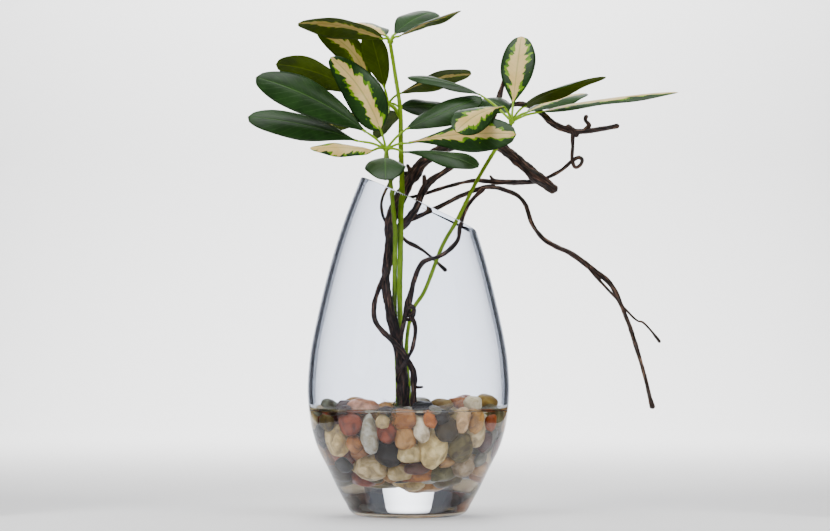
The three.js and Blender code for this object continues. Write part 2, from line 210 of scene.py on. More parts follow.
def bark_swell(seed, rough=1.0):
    """Ridges that wind round a limb, with knots and hollows along it."""
    def swell(place, angle, distance):
        wander = noise.noise(place * 55 + Vector((seed, 0, 0)))
        ridges = math.sin(3 * (angle + 45 * distance) + 2.5 * wander)
        lumps = noise.noise(place * 110 + Vector((0, seed, 0)))
        fine = noise.noise(place * 320)
        return 1 + rough * (0.1 * ridges + 0.18 * wander + 0.24 * lumps + 0.12 * fine)
    return swell


# (CAD node, points in mm, radii in mm, ring spacing in mm, sides, spurs)
limbs = [
    ("branch_trunk", [
        (-5, 0, 72), (-5, 0, 106), (-6, 0, 133), (-11, 0, 160), (-17.5, 0, 186), (-20.5, 3, 215),
        (-18, 7, 241), (-14.5, 14, 271), (-5, 17, 291), (3, 19, 305.5), (12, 21, 318.5),
        (29.5, 24, 330.5), (52, 26, 340), (73, 24, 338.5), (92, 20, 327.5), (114, 12, 307),
        (133, 6, 293)],
     [5.6, 5.6, 5.3, 4.6, 4.2, 4, 4.4, 5.4, 5.7, 5.1, 4.7, 4.7, 5, 5.1, 4.8], 1.3, 30,
     [([(4, 19, 306), (1, 18, 313), (-1.5, 17, 317)], [2.6, 2.2, 1.5])]),
    ("branch_left_fork", [
        (-9, 16, 258), (-1, 13.5, 266), (6, 11, 275), (9.5, 9.5, 284), (14, 9, 294),
        (20, 10, 301.5),
        (39.5, 14, 315.5), (52, 17, 324.5)],
     [3.8, 3.8, 3.5, 3.3, 2.8, 2.6], 1.1, 22,
     [([(15, 9, 295), (14.5, 8, 301), (14.2, 7, 307)], [3.0, 2.4, 1.7])]),
    ("branch_drooping", [
        (-8, 15, 262), (0, 14, 266.5), (10.5, 13, 270), (28.5, 11, 278.5), (50, 7, 289.5),
        (71.5, 4, 296), (93, 0, 291),
        (104.5, -4, 281), (111, -8, 262), (124, -11, 246.5), (146.5, -13, 235), (162.5, -15, 223.5),
        (181, -17, 207.5), (192, -18, 185.5), (201, -18, 160.5), (209, -18, 134), (218.5, -18, 97)],
     [2.5, 2.3, 2.1, 2.1, 2.0, 2.0, 2.1, 2.4, 2.5, 2.2, 2.0, 1.9, 1.8, 2.1], 1.0, 18,
     [([(154, -14, 231), (165, -17, 218), (178.5, -19, 203), (189, -18, 192)],
         [1.5, 1.2, 1.3, 1.2]),
      ([(158, -12, 228), (166, -13, 222), (172, -15, 212)], [1.0, 1.3, 1.0]),
      ([(163, -16, 225), (165.5, -17, 219), (169, -16, 215)], [1.3, 1.1, 0.8])]),
    ("twig_drooping_side", [
        (191, -18, 188.5), (203.5, -20, 176), (210.5, -21, 173), (222, -22, 160),
        (224.5, -22, 156)],
     [1.3, 1.1, 1.0, 1.1, 1.9], 1.0, 12, []),
    ("branch_inner_curl", [
        (68, 4.5, 295), (53.5, 0, 279.5), (46.5, -6, 260.5), (43, -13, 246), (30, -17, 234),
        (13, -14, 227), (5, -10, 212), (0.5, -8.5, 193), (-3.5, -8, 175), (-6.5, -7, 162.5),
        (-8.5, -2, 146)],
     [1.9, 2.0, 2.0, 1.9, 1.9, 2.0, 2.3, 3.2, 1.9, 1.7], 1.0, 18,
     [([(-3, -13, 180), (0, -15, 186), (5, -12, 186), (4, -9, 179), (-1, -10, 176), (-4, -12, 180)],
       [1.3, 1.6, 1.5, 1.6, 1.2]),
      ([(2, -12, 190), (5, -12, 186), (3, -14, 181), (-2, -14, 178)], [1.2, 1.7, 1.5, 1.0])]),
    ("tendril_left", [
        (3.5, 19, 309), (-11.5, 21, 307.5), (-19.5, 12, 295.5), (-24.5, 8, 281.5), (-22, 14, 266.5),
        (-12, 24, 257), (-1.5, 22, 247), (11.5, 12, 239.5), (24, 4, 229), (34, 0, 220)],
     [2.0, 1.8, 1.6, 1.5, 1.5, 1.7, 1.8, 1.9, 1.4, 1.2, 2.1], 1.0, 14, []),
    ("vine_round_trunk", [
        (-19, 2, 221), (-24.5, -3, 210), (-30.5, -4, 191), (-29, -6.5, 173), (-14.5, -11, 157),
        (-5, -11, 146.5), (4, -10, 130), (4.5, -9, 113), (4, -9, 76)],
     [1.8, 2.1, 2.3, 2.6, 2.9, 2.7], 1.1, 20,
     [([(4, -9, 116), (9, -8, 115.5), (13, -8, 116)], [1.8, 1.5, 1.2])]),
    ("tendril_loop", [
        (0.5, -8, 183), (6, -13, 168), (3, -16, 149), (-6, -14.5, 133), (-10, -8, 124),
        (-9, -2, 119)],
     [2.0, 1.9, 1.8, 1.7, 1.6], 1.0, 16, []),
    ("twig_upright", [(73, 25, 335), (75, 38, 354), (80, 48, 370), (86.5, 53, 392), (90, 55, 405)],
     [2.6, 2.7, 2.6, 2.1], 1.1, 18, []),
    ("twig_upper_right", [
        (79, 47, 369), (100, 40, 373.5), (115.5, 26, 368), (131, 17, 354.5), (148.5, 10, 346.5),
        (163, 6, 347), (189.5, 0, 351)],
     [2.2, 2.2, 2.3, 2.4, 3.2, 3.3, 2.5, 2.1, 2.2], 0.9, 20,
     [([(158, 7, 345.5), (163, 7, 352), (160, 8, 356.5), (161, 8, 361)], [2.4, 2.2, 1.8, 2.1]),
      ([(143, 10, 352), (148, 9, 348), (153, 8, 342)], [2.0, 2.6, 1.9])]),
    ("tendril_right", [
        (-3, 17, 286), (16.5, 16, 291), (36.5, 12, 297), (60, 10, 302), (82.5, 10, 300.5),
        (101, 15, 301),
        (117.5, 20, 302), (135.5, 17, 310), (148, 14, 320), (154, 11, 323), (157, 8, 320.5),
        (154.5, 5, 315.5), (150, 5, 314), (147.5, 7.5, 322), (148.5, 10, 333), (148.5, 10, 348)],
     [1.3, 1.4, 1.6, 2.1, 2.6, 2.3, 1.8, 1.6, 1.6, 1.6, 1.9], 0.9, 16,
     [([(81, 10, 300), (76, 9, 303), (73.5, 8, 306.5)], [2.1, 1.9, 1.3])]),
]
for number, (node_name, points, radii, step, sides, spurs) in enumerate(limbs):
    parts = [tube(metres(points), [r / 1000 for r in radii], step / 1000, sides,
        bark_swell(number * 7.3))]
    for route, sizes in spurs:
        parts.append(tube(metres(route), [r / 1000 for r in sizes], 0.0008, 12,
            bark_swell(number + 0.5)))
    piece("bark_" + node_name, parts, [bark], [node_name])


# ---- stems ----------------------------------------------------------------------------------
# Three green stems moulded in one piece with their leaf stalks: a steel-cored stem, a swollen hub
# where each whorl of stalks springs, and faint rings where lower leaves have dropped.

# Young schefflera stem: smooth, satin, lime green; toward the whorls its colour is darkened to olive as
# painted shade from the leaves above.
stalk, tree, out = new_material("lime green stalk")
place = put(tree, "ShaderNodeTexCoord").outputs["Object"]
height = put(tree, "ShaderNodeSeparateXYZ", None, {"Vector": place}).outputs["Z"]
# Painted shade: from 200 to 310 mm up, the colour runs from lime to a darker olive, standing in for the
# shade that the leaf crowns cast on the stems.
up = put(tree, "ShaderNodeMapRange", None, {"Value": height, "From Min": 0.2, "From Max": 0.31})
mottle = put(tree, "ShaderNodeTexNoise", None, {"Vector": place, "Scale": 90.0, "Detail": 3.0})
pale = ramp(tree, mottle.outputs["Fac"], [(0.3, "7da312"), (0.6, "93b824"), (0.8, "aac83c")])
deep = ramp(tree, mottle.outputs["Fac"], [(0.3, "465c0a"), (0.6, "5f7812"), (0.8, "738c20")])
shade_darkened_skin = put(tree, "ShaderNodeMix", {"data_type": "RGBA"}, {
    "Factor": up.outputs["Result"], "A": pale, "B": deep})
crown = put(tree, "ShaderNodeMapRange", None, {
    "Value": height, "From Min": 0.318, "From Max": 0.33})
fresh = put(tree, "ShaderNodeMix", {"data_type": "RGBA"}, {
    "Factor": crown.outputs["Result"], "A": shade_darkened_skin.outputs["Result"], "B": linear("86ad22")})
shader = put(tree, "ShaderNodeBsdfPrincipled", None, {
    "Base Color": fresh.outputs["Result"], "Roughness": 0.45, "Specular IOR Level": 0.3})
tree.links.new(shader.outputs["BSDF"], out.inputs["Surface"])


def stem_swell(place, angle, distance):
    """A stem is thicker at its leaf scars, about 24 mm apart."""
    beat = (distance / 0.024) % 1
    return 1 + 0.13 * math.exp(-((beat - 0.5) / 0.035) ** 2) + 0.05 * noise.noise(place * 70)


def ball(centre, size, rings=10, sides=16):
    """A closed round hub, as (corners, faces, uvs)."""
    corners, faces = [centre + Vector((0, 0, size)), centre - Vector((0, 0, size))], []
    for i in range(1, rings):
        polar = math.pi * i / rings
        for k in range(sides):
            angle = 2 * math.pi * k / sides
            out = Vector((math.sin(polar) * math.cos(angle), math.sin(polar) * math.sin(angle),
                math.cos(polar)))
            corners.append(centre + out * size)
    for k in range(sides):
        n = (k + 1) % sides
        faces.append((0, 2 + k, 2 + n))
        for i in range(rings - 2):
            a = 2 + i * sides
            faces.append((a + k, a + sides + k, a + sides + n, a + n))
        a = 2 + (rings - 2) * sides
        faces.append((1, a + n, a + k))
    return corners, faces, [((0, 0),) * len(face) for face in faces]


# (name, base, tip, width, roll, arch, droop, widest place, cream share): mm and degrees.
# roll turns the blade's face from level (0) to facing front (90) or its underside to front (-90).
whorls = {
    "stem_tall": [
        ("leaf_top_left", (-23, -6, 429), (-98, -50, 439), 32, -25, 5, 4, 0.5, 0.3),
        ("leaf_top_rear", (-21, 8, 433), (-52, 68, 450), 30, 12, 3, 3, 0.5, 0.4),
        ("leaf_top_right", (-13, 8, 434), (24, 66, 460), 33, 20, 4, 3, 0.6, 0.0),
        ("leaf_top_front", (-9, -7, 431), (46, -50, 450), 28, 8, 2, 3, 0.5, 0.45),
        ("leaf_crown_rear_left", (-33, 42, 384), (-84, 60, 444), 34, -62, 11, 3, 0.55, 0.42),
        ("leaf_crown_rear_up", (-22, 34, 388), (-36, 3, 440), 26, 0, 2, 3, 0.55, 0.0),
        ("leaf_crown_left", (-44, 38, 380), (-122, 55, 411), 35, -45, 7, 3, 0.6, 0.0),
        ("leaf_crown_right", (-8, 42, 383), (58, 72, 403), 33, -30, 5, 3, 0.55, 0.2),
        ("leaf_crown_low_right", (-8, 36, 370), (44, 58, 368), 30, 40, 3, 3, 0.5, 0.0),
        ("leaf_crown_low_rear", (-18, 48, 368), (-27, 84, 345), 28, 30, 2, 3, 0.5, 0.0),
        ("leaf_crown_low_left", (-34, 34, 366), (-102, 42, 341), 30, -22, 3, 3, 0.5, 0.4),
    ],
    "stem_left": [
        ("leaf_left_upper", (-38, -42, 343), (-136, -36, 392), 38, 60, 6, 4, 0.6, 0.0),
        ("leaf_left_lower", (-45, -38, 335), (-144, -18, 358), 33, 48, 4, 4, 0.62, 0.0),
        ("leaf_left_upright", (-25, -43, 345), (-70, -12, 412), 35, 66, 6, 4, 0.38, 0.5),
        ("leaf_left_small", (-32, -50, 326), (-86, -88, 325), 21, 36, 2, 3, 0.45, 0.95),
        ("leaf_front", (-21, -46, 319), (-20, -104, 297), 36, 0, 7, 4, 0.55, 0.0),
        ("leaf_low_right", (-5, -46, 325), (61, -90, 309), 26, 30, 5, 3, 0.66, 0.0),
        ("leaf_mid_right", (0, -44, 333), (95, -68, 339), 36, 60, 4, 3, 0.68, 0.45),
        ("leaf_back_right", (-2, -33, 346), (66, 14, 378), 30, 38, 1, 4, 0.55, 0.0),
    ],
    "stem_right": [
        ("leaf_right_upright", (94, -4, 370), (103, 36, 435), 32, 4, 2, 3, 0.6, 0.6),
        ("leaf_right_front", (102, -22, 366), (175, -54, 391), 28, -8, 5, 4, 0.4, 0.0),
        ("leaf_right_long", (118, -21, 362), (241, -30, 379), 27, 16, 3, 3, 0.4, 0.5),
        ("leaf_right_rear", (107, -4, 363), (163, 52, 384), 30, 10, 3, 3, 0.5, 0.3),
        ("leaf_right_low", (85, -30, 366), (41, -106, 339), 30, 38, 5, 3, 0.68, 0.5),
        ("leaf_right_arching", (90, 2, 363), (61, 42, 376), 28, 24, 6, 5, 0.5, 0.0),
        ("leaf_right_left", (65, 4, 379), (-1, 24, 397), 26, 20, 4, 3, 0.6, 0.0),
    ],
}
stems = {
    "stem_tall": ([
        (-16.5, 0, 425), (-12.5, 6, 400.5), (-7.5, 20, 366.5), (-7, 10, 336.5), (-6, -2, 293),
        (-7, -5, 268.5), (-7.5, 0, 228), (-8, 5, 203), (-7.5, 12, 171.5), (-7, 12, 153.5),
        (-5.5, 11, 104), (-5.5, 11, 72)],
        [1.7, 1.8, 2.2, 2.5, 2.6, 2.5, 2.4, 2.3, 2.2], [(-18.5, 35, 373.5), (-16.5, 0, 427)],
        [(-7.5, 20, 360), (-12, 28, 368), (-18.5, 35, 373.5)]),
    "stem_left": ([
        (-20, -35, 327), (-16.5, -22, 302), (-13.5, -12, 273.5), (-12, -9, 256), (-12, -4, 240.5),
        (-12.5, 4, 214), (-12.5, 12, 181.5), (-10.5, 17, 140), (-9.5, 18, 104), (-9.5, 18, 72)],
        [1.9, 2.0, 2.2, 2.2, 2.1], [(-20, -36, 328)], None),
    "stem_right": ([
        (92.5, -15, 353), (63, -12, 304), (44, -9, 266.5), (30, -6, 241.5), (15, 2, 203),
        (3, 8, 182.5),
        (-2, 18, 149), (1, 16, 103.5), (1, 16, 72)],
        [1.8, 1.8, 1.8, 1.9], [(92.5, -15, 354)], None),
}
for node_name, (points, radii, hubs, fork) in stems.items():
    parts = [tube(metres(points), [r / 1000 for r in radii], 0.0012, 14, stem_swell)]
    if fork:
        parts.append(tube(metres(fork), [0.0019, 0.0018], 0.0015, 12))
    for hub in metres(hubs):
        parts.append(ball(hub, 0.0029))
    for _, base, tip, *_ in whorls[node_name]:
        start, end = metres([base, tip])
        hub = min(metres(hubs), key=lambda h: (h - start).length)
        middle = hub.lerp(start, 0.5) + Vector((0, 0, 0.0015))
        into = start + (end - start).normalized() * 0.004
        parts.append(tube([hub, middle, start, into], [0.00125, 0.0011, 0.0011, 0.0007], 0.0012,
            12))
    piece("green_" + node_name, parts, [stalk], [node_name])


# ---- leaflets -------------------------------------------------------------------------------
# Waxy schefflera leaflets, whole-edged, with a sunk midrib and side veins that run out and
# forward. Many have a cream heart with a jagged lime border. The underside is dull olive.

def leaf_material(name, green, lime, cream, vein, roughness, gloss, relief):
    """A leaf face: green margin, ragged lime band and cream heart, laid out on the blade's uv."""
    material, tree, out = new_material(name)
    uv = put(tree, "ShaderNodeUVMap", {"uv_map": "blade"}).outputs["UV"]
    axes = put(tree, "ShaderNodeSeparateXYZ", None, {"Vector": uv})
    side = put(tree, "ShaderNodeMath", {"operation": "MULTIPLY_ADD"}, {
        0: axes.outputs["X"], 1: 2.0, 2: -1.0})
    off = put(tree, "ShaderNodeMath", {"operation": "ABSOLUTE"}, {0: side.outputs[0]})
    # A side vein keeps the same value of `along` all the way from the midrib to the edge.
    along = put(tree, "ShaderNodeMath", {"operation": "MULTIPLY_ADD"}, {
        0: off.outputs[0], 1: -0.2, 2: axes.outputs["Y"]})
    left = put(tree, "ShaderNodeMath", {"operation": "GREATER_THAN"}, {0: side.outputs[0], 1: 0.0})
    own = put(tree, "ShaderNodeAttribute", {"attribute_name": "seed"}).outputs["Fac"]
    shift = put(tree, "ShaderNodeMath", {"operation": "MULTIPLY_ADD"}, {
        0: left.outputs[0], 1: 31.7, 2: own})
    # Streaks about 5 mm wide on a leaflet 100 mm long, and broader drifts under them.
    streak_at = put(tree, "ShaderNodeMath", {"operation": "MULTIPLY_ADD"}, {
        0: along.outputs[0], 1: 13.0, 2: shift.outputs[0]})
    streak = put(tree, "ShaderNodeTexNoise", {"noise_dimensions": "1D"}, {
        "W": streak_at.outputs[0], "Scale": 1.0, "Detail": 1.5})
    drift_at = put(tree, "ShaderNodeMath", {"operation": "MULTIPLY_ADD"}, {
        0: along.outputs[0], 1: 4.0, 2: shift.outputs[0]})
    drift = put(tree, "ShaderNodeTexNoise", {"noise_dimensions": "1D"}, {
        "W": drift_at.outputs[0], "Scale": 1.0, "Detail": 0.0})
    both = put(tree, "ShaderNodeMath", {"operation": "ADD"}, {
        0: streak.outputs["Fac"], 1: drift.outputs["Fac"]})
    ragged = put(tree, "ShaderNodeMapRange", None, {
        "Value": both.outputs[0], "From Min": 0.7, "From Max": 1.3, "To Min": 0.42, "To Max": 1.02})
    share = put(tree, "ShaderNodeAttribute", {"attribute_name": "cream"}).outputs["Fac"]
    reach = put(tree, "ShaderNodeMath", {"operation": "MULTIPLY"}, {0: ragged.outputs[0], 1: share})
    gap = put(tree, "ShaderNodeMath", {"operation": "SUBTRACT"}, {
        0: reach.outputs[0], 1: off.outputs[0]})
    heart = put(tree, "ShaderNodeMapRange", None, {
        "Value": gap.outputs[0], "From Min": -0.02, "From Max": 0.03})
    # The lime border breaks into patches: its width drifts from nothing to a third of the blade.
    place = put(tree, "ShaderNodeTexCoord").outputs["Object"]
    patchy = put(tree, "ShaderNodeTexNoise", None, {"Vector": place, "Scale": 150.0, "Detail": 3.0})
    border = put(tree, "ShaderNodeMapRange", None, {
        "Value": patchy.outputs["Fac"], "From Min": 0.38, "From Max": 0.66, "To Min": 0.04,
        "To Max": 0.62})
    band_gap = put(tree, "ShaderNodeMath", {"operation": "MULTIPLY_ADD"}, {
        0: share, 1: border.outputs[0], 2: gap.outputs[0]})
    band = put(tree, "ShaderNodeMapRange", None, {
        "Value": band_gap.outputs[0], "From Min": 0.0, "From Max": 0.05})
    only = put(tree, "ShaderNodeMath", {"operation": "GREATER_THAN"}, {0: share, 1: 0.05})
    band_on = put(tree, "ShaderNodeMath", {"operation": "MULTIPLY"}, {
        0: band.outputs[0], 1: only.outputs[0]})
    heart_on = put(tree, "ShaderNodeMath", {"operation": "MULTIPLY"}, {
        0: heart.outputs[0], 1: only.outputs[0]})
    cloud = put(tree, "ShaderNodeTexNoise", None, {"Vector": place, "Scale": 45.0, "Detail": 4.0})
    leafy = ramp(tree, cloud.outputs["Fac"], [(0.3, green[0]), (0.7, green[1])])
    limy = ramp(tree, streak.outputs["Fac"], [(0.35, lime[0]), (0.65, lime[1])])
    creamy = ramp(tree, cloud.outputs["Fac"], [(0.3, cream[0]), (0.7, cream[1])])
    with_lime = put(tree, "ShaderNodeMix", {"data_type": "RGBA"}, {
        "Factor": band_on.outputs[0], "A": leafy, "B": limy})
    with_cream = put(tree, "ShaderNodeMix", {"data_type": "RGBA"}, {
        "Factor": heart_on.outputs[0], "A": with_lime.outputs["Result"], "B": creamy})
    # Side veins 8 mm apart, and the midrib 1 mm wide.
    comb = put(tree, "ShaderNodeMath", {"operation": "PINGPONG"}, {0: along.outputs[0], 1: 0.042})
    vein_line = put(tree, "ShaderNodeMapRange", {"interpolation_type": "SMOOTHSTEP"}, {
        "Value": comb.outputs[0], "From Min": 0.0, "From Max": 0.006, "To Min": 0.35,
        "To Max": 0.0})
    rib_line = put(tree, "ShaderNodeMapRange", {"interpolation_type": "SMOOTHSTEP"}, {
        "Value": off.outputs[0], "From Min": 0.015, "From Max": 0.06, "To Min": 0.85,
        "To Max": 0.0})
    lines = put(tree, "ShaderNodeMath", {"operation": "MAXIMUM"}, {
        0: vein_line.outputs[0], 1: rib_line.outputs[0]})
    drawn = put(tree, "ShaderNodeMath", {"operation": "MULTIPLY"}, {0: lines.outputs[0], 1: 0.42})
    veined = put(tree, "ShaderNodeMix", {"data_type": "RGBA"}, {
        "Factor": drawn.outputs[0], "A": with_cream.outputs["Result"], "B": linear(vein)})
    pores = put(tree, "ShaderNodeTexNoise", None, {"Vector": place, "Scale": 1400.0, "Detail": 2.0})
    level = put(tree, "ShaderNodeMath", {"operation": "MULTIPLY_ADD"}, {
        0: pores.outputs["Fac"], 1: 0.25, 2: lines.outputs[0]})
    bump = put(tree, "ShaderNodeBump", {"invert": relief < 0}, {
        "Height": level.outputs[0], "Strength": abs(relief), "Distance": 0.0004})
    shader = put(tree, "ShaderNodeBsdfPrincipled", None, {
        "Base Color": veined.outputs["Result"], "Roughness": roughness,
        "Specular IOR Level": gloss, "Normal": bump.outputs["Normal"]})
    glow = put(tree, "ShaderNodeBsdfTranslucent", None, {"Color": veined.outputs["Result"]})
    blend = put(tree, "ShaderNodeMixShader", None, {
        "Fac": 0.16, 1: shader.outputs["BSDF"], 2: glow.outputs["BSDF"]})
    tree.links.new(blend.outputs["Shader"], out.inputs["Surface"])
    return material


# Upper face: a waxy cuticle over dark green, satin with broad highlights.
upper_face = leaf_material("waxy leaf upper face", ("172f0f", "294a1c"), ("4a7a04", "7cac10"),
                           ("dcb964", "efd594"), "4d7a2c", 0.4, 0.3, -0.5)
# Underside: no wax, dull olive, with the veins standing proud.
under_face = leaf_material("dull leaf underside", ("2b3a00", "465a02"), ("5a7202", "7d9410"),
                           ("b39a50", "cbb36c"), "6c8010", 0.65, 0.12, 0.5)


def blade(base, tip, width, roll, arch, droop, wide, across=14, along=36):
    """A curved blade with sharp edges, as (corners, faces, uvs); upper faces come first."""
    start, end = metres([base, tip])
    axis = (end - start).normalized()
    level = Vector((0, 0, 1)).cross(axis).normalized()
    up = axis.cross(level)
    turn = Matrix.Rotation(math.radians(roll) * (1 if level.y >= 0 else -1), 3, axis)
    side, face = turn @ level, turn @ up
    width, arch, droop = width / 1000, arch / 1000, droop / 1000
    skew = math.log(0.5) / math.log(wide)
    rows = []
    phase = start.x * 300
    for j in range(along + 1):
        t = j / along
        half = math.sin(math.pi * min(t, 1) ** skew) ** (0.75 - 0.27 * t) * width / 2
        half = max(half, 0.0013 * (1 - t) + 0.0002)
        line = start.lerp(end, t) + up * (4 * arch * t * (1 - t))
        row = []
        for i in range(across + 1):
            s = 2 * i / across - 1
            sunk = 0.0006 * math.exp(-(s / 0.12) ** 2) * math.sin(math.pi * t)
            wave = 0.0012 * math.sin(9 * t + phase + (2 if s > 0 else 0)) * s * s * math.sin(math.pi * t)
            lift = wave - sunk - droop * s * s * math.sin(math.pi * t)
            body = 0.00028 * (1 - s * s)
            row.append((line + side * (s * half) + face * lift, face * body, ((s + 1) / 2, t)))
        rows.append(row)
    corners, index, uv_of = [], {}, {}
    for top in (1, -1):
        for j, row in enumerate(rows):
            for i, (place, body, spot) in enumerate(row):
                rim = i in (0, across) or j in (0, along)
                if rim and top < 0:
                    index[top, j, i] = index[1, j, i]
                    continue
                index[top, j, i] = len(corners)
                uv_of[len(corners)] = spot
                corners.append(place if rim else place + body * top)
    faces = []
    for top in (1, -1):
        for j in range(along):
            for i in range(across):
                quad = [index[top, j, i], index[top, j, i + 1], index[top, j + 1, i + 1],
                    index[top, j + 1, i]]
                faces.append(tuple(quad if top > 0 else quad[::-1]))
    a, b, c = (corners[k] for k in faces[across * 3][:3])
    if (b - a).cross(c - a).dot(face) < 0:
        faces = [quad[::-1] for quad in faces]
    return corners, faces, [tuple(uv_of[k] for k in quad) for quad in faces]


for node_names in whorls.values():
    for number, (name, *shape, cream) in enumerate(node_names):
        made = piece("waxy_" + name, [blade(*shape)], [upper_face, under_face], [name],
                     uv_name="blade")
        mesh = made.data
        half = len(mesh.polygons) // 2
        mesh.polygons.foreach_set("material_index", [0] * half + [1] * half)
        for label, value in (("cream", cream), ("seed", number * 5.37 + len(name))):
            layer = mesh.attributes.new(label, "FLOAT", "POINT")
            layer.data.foreach_set("value", [value] * len(mesh.vertices))


# ---- river stones ---------------------------------------------------------------------------
# Tumbled river stones, 10 to 30 mm, packed in the bowl and set in the resin; a few lie loose on
# top. Each is a smooth, slightly flattened pebble in its own shade, veined or speckled.

# Tumbled stone: fine grained, wet-looking in the resin, with faint bands and dark specks.
stone, tree, out = new_material("tumbled river stone")
place = put(tree, "ShaderNodeTexCoord").outputs["Object"]
painted = put(tree, "ShaderNodeAttribute", {"attribute_name": "tint"}).outputs["Color"]
tint = put(tree, "ShaderNodeGamma", None, {"Color": painted, "Gamma": 1.2}).outputs["Color"]
patch = put(tree, "ShaderNodeTexNoise", None, {
    "Vector": place, "Scale": 110.0, "Detail": 5.0, "Distortion": 0.8})
tone = ramp(tree, patch.outputs["Fac"], [(0.3, "7a6648"), (0.46, "c9b896"), (0.64, "fffaf0")])
mottled = put(tree, "ShaderNodeMix", {"data_type": "RGBA", "blend_type": "MULTIPLY"}, {
    "Factor": 0.85, "A": tint, "B": tone})
speck = put(tree, "ShaderNodeTexNoise", None, {"Vector": place, "Scale": 900.0, "Detail": 2.0})
dots = put(tree, "ShaderNodeMapRange", None, {
    "Value": speck.outputs["Fac"], "From Min": 0.6, "From Max": 0.72, "To Max": 0.45})
dotted = put(tree, "ShaderNodeMix", {"data_type": "RGBA"}, {
    "Factor": dots.outputs["Result"], "A": mottled.outputs["Result"], "B": linear("4b4036")})
wet = put(tree, "ShaderNodeHueSaturation", None, {
    "Saturation": 1.0, "Value": 1.1, "Color": dotted.outputs["Result"]})
bump = put(tree, "ShaderNodeBump", None, {"Height": patch.outputs["Fac"], "Strength": 0.35,
    "Distance": 0.0008})
shader = put(tree, "ShaderNodeBsdfPrincipled", None, {
    "Base Color": wet.outputs["Color"], "Roughness": 0.4, "Normal": bump.outputs["Normal"]})
tree.links.new(shader.outputs["BSDF"], out.inputs["Surface"])


def stone_body(centre, size, turn, seed, sides=22, rings=14):
    """A tumbled stone as (corners, faces, uvs): a ball, dented, stretched, turned and placed."""
    corners, faces, uvs = ball(Vector((0, 0, 0)), 1.0, rings, sides)
    grown = []
    for corner in corners:
        dent = (1 + 0.24 * noise.noise(corner * 1.1 + Vector((seed, 0, 0)))
                + 0.09 * noise.noise(corner * 2.4 + Vector((0, seed, 0))))
        flat = Vector([math.copysign(abs(c) ** 0.88, c) for c in corner * dent])
        grown.append(centre + turn @ Vector((flat.x * size[0], flat.y * size[1], flat.z * size[2])))
    return grown, faces, uvs


def tumbled(name, stones, nodes):
    """One piece from (centre, half sizes, turn, hex) stones, with each stone's own tint."""
    parts = [stone_body(c, s, turn, k * 3.1 + len(name)) for k,
        (c, s, turn, _) in enumerate(stones)]
    made = piece(name, parts, [stone], nodes)
    layer = made.data.color_attributes.new("tint", "FLOAT_COLOR", "POINT")
    colours = []
    for (corners, _, _), (*_, shade) in zip(parts, stones):
        colours += linear(shade) * len(corners)
    layer.data.foreach_set("color", colours)
    return made


def bowl_radius(height):
    """Inside radius of the bowl at a height, in mm."""
    inside = [(37, 0), (39, 26), (45, 47), (53, 64.6), (64, 75), (85, 83.7), (110, 86.5)]
    for (low, near), (high, far) in zip(inside, inside[1:]):
        if low <= height <= high:
            return near + (far - near) * (height - low) / (high - low)
    return 86.5 if height > 110 else 0


# Stones against the front of the glass: x, y, z of the middle, width, height, colour.
front_stones = [
    (-55, -59, 99, 11, 7, "5a4038"), (-20, -79, 97, 11, 6, "4a3a32"),
    (23, -78, 103, 10, 7, "8b877c"),
    (-68, -36, 86, 18, 14, "6e6238"), (-49, -57, 85, 24, 17, "9a5233"),
    (-58, -34, 72, 22, 25, "e3cf9a"),
    (-45, -53, 69, 15, 14, "c08a50"), (-32, -66, 77, 14, 31, "c3c2ba"),
    (-22, -75, 87, 11, 11, "d8c79c"),
    (-17, -62, 62, 21, 22, "2e2520"), (-4, -71, 74, 16, 20, "bf9763"),
    (11, -74, 80, 13, 21, "ece3cf"),
    (19, -76, 89, 11, 13, "c77f3e"), (0, -66, 62, 20, 17, "e0d2a6"),
    (20, -61, 65, 23, 31, "ead9a5"),
    (32, -66, 81, 18, 20, "55492f"), (46, -63, 88, 12, 20, "e6c7a0"),
    (57, -52, 87, 14, 20, "cfa567"),
    (43, -49, 66, 22, 22, "80764c"), (63, -32, 70, 14, 16, "5c2f26"),
    (49, -30, 53, 22, 21, "b8a68c"),
    (-36, -42, 51, 26, 22, "dfcfa8"), (-9, -54, 47, 18, 16, "e4d5ab"),
    (10, -59, 49, 22, 11, "8a6a66"),
    (8, -37, 41, 32, 15, "b98246"), (27, -32, 43, 22, 16, "8a8764"), (34, -54, 54, 13, 9, "c2a06d"),
    (-55, -23, 53, 16, 14, "2b2523"), (-5, -24, 37, 18, 7, "26211f"),
    (-27, -21, 39, 14, 11, "7a7045"),
    (-18, -36, 41, 11, 11, "b59468"), (68, -36, 86, 13, 13, "a9602f"),
    (60, -24, 57, 13, 13, "8f8f86"),
    (27, -74, 91, 13, 11, "3a332e"),
]
shades = ["e3cf9a", "c08a50", "9a5233", "c3c2ba", "bf9763", "ece3cf", "55492f", "80764c", "8a8764",
          "b98246", "5a4038", "dfcfa8", "8f8f86", "cfa567", "a9602f", "6e6238", "3a332e"]
shuffle = random.Random(11)
packed = []
for x, y, z, w, h, shade in front_stones:
    around = Matrix.Rotation(math.atan2(x, -y), 3, "Z")
    lean = Matrix.Rotation(math.radians(shuffle.uniform(-14, 14)), 3, "Y")
    deep = min(w, h) * 0.5
    packed.append([Vector((x, y, z)), (w * 0.54, deep, h * 0.54), around @ lean, shade, True])
